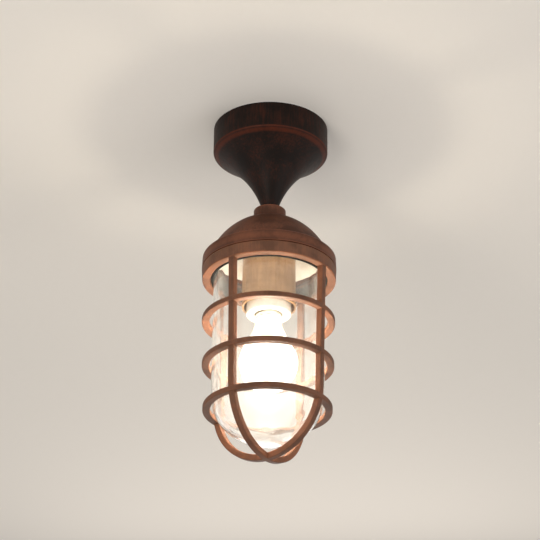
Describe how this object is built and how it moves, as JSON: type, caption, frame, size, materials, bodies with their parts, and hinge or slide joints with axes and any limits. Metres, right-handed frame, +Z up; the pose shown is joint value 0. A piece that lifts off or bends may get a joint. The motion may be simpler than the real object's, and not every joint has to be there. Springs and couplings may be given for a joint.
{
  "type": "ceiling light",
  "caption": "Outdoor ceiling light: trumpet canopy, domed hood and a clear glass jar with a bulb, held by a screw-on cast guard of hoops and ribs.",
  "frame": {"origin": "on the light's axis, in the plane of the ceiling, midway between the crossbar's two slots", "axes": "+Z up into the ceiling along the light's axis, +X along the crossbar, the light hangs down along -Z"},
  "size_m": [0.1374, 0.1374, 0.3723],
  "materials": {
    "rust_bronze": "dark brown bronze paint with a rust-red cast and rubbed edges",
    "cup_bronze": "satin brown bronze paint",
    "zinc_steel": "zinc-plated steel",
    "green_screw": "green-dyed zinc plate",
    "foam": "closed-cell foam",
    "seal_rubber": "matte black rubber",
    "white_enamel": "white baked enamel",
    "porcelain": "white glazed porcelain",
    "brass": "plain pressed brass",
    "black_insulation": "smooth wire insulation",
    "white_insulation": "smooth wire insulation",
    "bare_copper": "bare copper",
    "connector_plastic": "moulded plastic",
    "clear_glass": "clear pressed glass with faint ripples",
    "solder": "dull solder",
    "black_glass": "glossy black insulator",
    "cap_nickel": "rolled nickel-plated thread",
    "opal_glass": "opal white glass, lit"
  },
  "bodies": {
    "housing": {"mounting_crossbar": "zinc_steel", "stem_nipple": "zinc_steel", "crossbar_nuts": "zinc_steel", "crossbar_lock_washer": "zinc_steel", "ground_screw": "green_screw", "canopy": "rust_bronze", "canopy_gasket": "foam", "neck_seal": "seal_rubber", "dome_housing": "rust_bronze", "dome_washer": "zinc_steel", "dome_nut": "zinc_steel", "heat_shield": "white_enamel", "cup_nuts": "zinc_steel", "socket_cup": "cup_bronze", "socket_bracket": "zinc_steel", "socket_screws": "zinc_steel", "socket_body": "porcelain", "terminal_screws": "brass", "socket_shell": "brass", "centre_contact": "brass", "live_lead": "black_insulation", "neutral_lead": "white_insulation", "ground_lead": "bare_copper", "wire_connectors": "connector_plastic"},
    "glass": {"glass_jar": "clear_glass", "upper_glass_gasket": "seal_rubber", "lower_glass_gasket": "seal_rubber"},
    "guard": {"guard_cage": "rust_bronze"},
    "bulb_tip": {"bulb_contact": "solder"},
    "bulb": {"bulb_insulator": "black_glass", "bulb_cap": "cap_nickel", "bulb_globe": "opal_glass"}
  },
  "joints": [
    {"name": "guard_drop", "type": "slide", "parent": "housing", "child": "glass", "axis": [0, 0, -1], "range_m": [0, 0.008]},
    {"name": "guard_turn", "type": "hinge", "parent": "glass", "child": "guard", "pos_m": [0, 0, -0.16], "axis": [0, 0, -1], "range_deg": [0, 720]},
    {"name": "bulb_drop", "type": "slide", "parent": "housing", "child": "bulb_tip", "axis": [0, 0, -1], "range_m": [0, 0.01815]},
    {"name": "bulb_turn", "type": "hinge", "parent": "bulb_tip", "child": "bulb", "pos_m": [0, 0, -0.2], "axis": [0, 0, -1], "range_deg": [0, 1800]}
  ],
  "couplings": [
    {"joint": "guard_drop", "follows": "guard_turn", "m_per_rad": 0.0006366},
    {"joint": "bulb_drop", "follows": "bulb_turn", "m_per_rad": 0.0005775}
  ]
}
